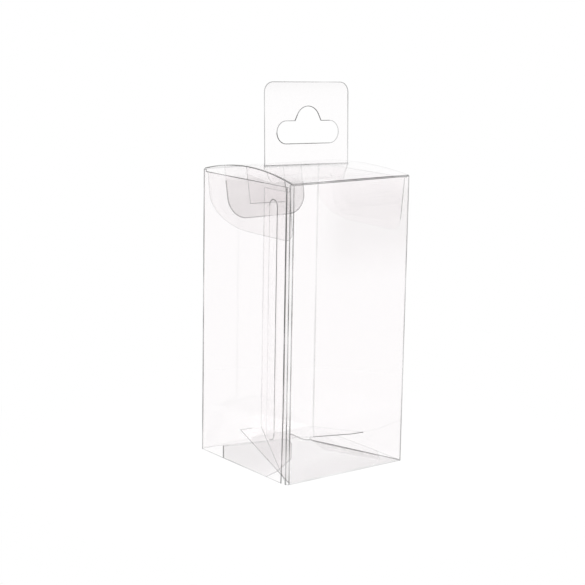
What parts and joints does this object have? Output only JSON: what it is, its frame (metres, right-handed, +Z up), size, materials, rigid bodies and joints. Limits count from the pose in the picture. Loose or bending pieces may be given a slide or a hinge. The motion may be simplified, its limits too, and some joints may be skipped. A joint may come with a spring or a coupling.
{
  "type": "clear plastic hang box",
  "caption": "Clear folded plastic carton with a self-locking bottom, a hinged tuck lid and a hang tab with a shouldered peg hole standing from the middle of the lid.",
  "frame": {"origin": "middle of the base, on the surface that the box stands on", "axes": "+Z up along the height, -Y out of the front wall that carries the lid's crease, +X to the right seen from the front"},
  "size_m": [0.0636, 0.0636, 0.1654],
  "materials": {
    "clear_sheet": "clear glossy plastic sheet",
    "clear_glue": "clear dried glue"
  },
  "bodies": {
    "carton": {"carton": "clear_sheet", "seam_glue": "clear_glue", "bottom_glue_front": "clear_glue", "bottom_glue_back": "clear_glue"},
    "lid": {"lid": "clear_sheet", "hang_tab": "clear_sheet"}
  },
  "joints": [
    {"name": "lid_hinge", "type": "hinge", "parent": "carton", "child": "lid", "pos_m": [0, -0.0316, 0.127], "axis": [1, 0, 0], "range_deg": [0, 120]}
  ]
}
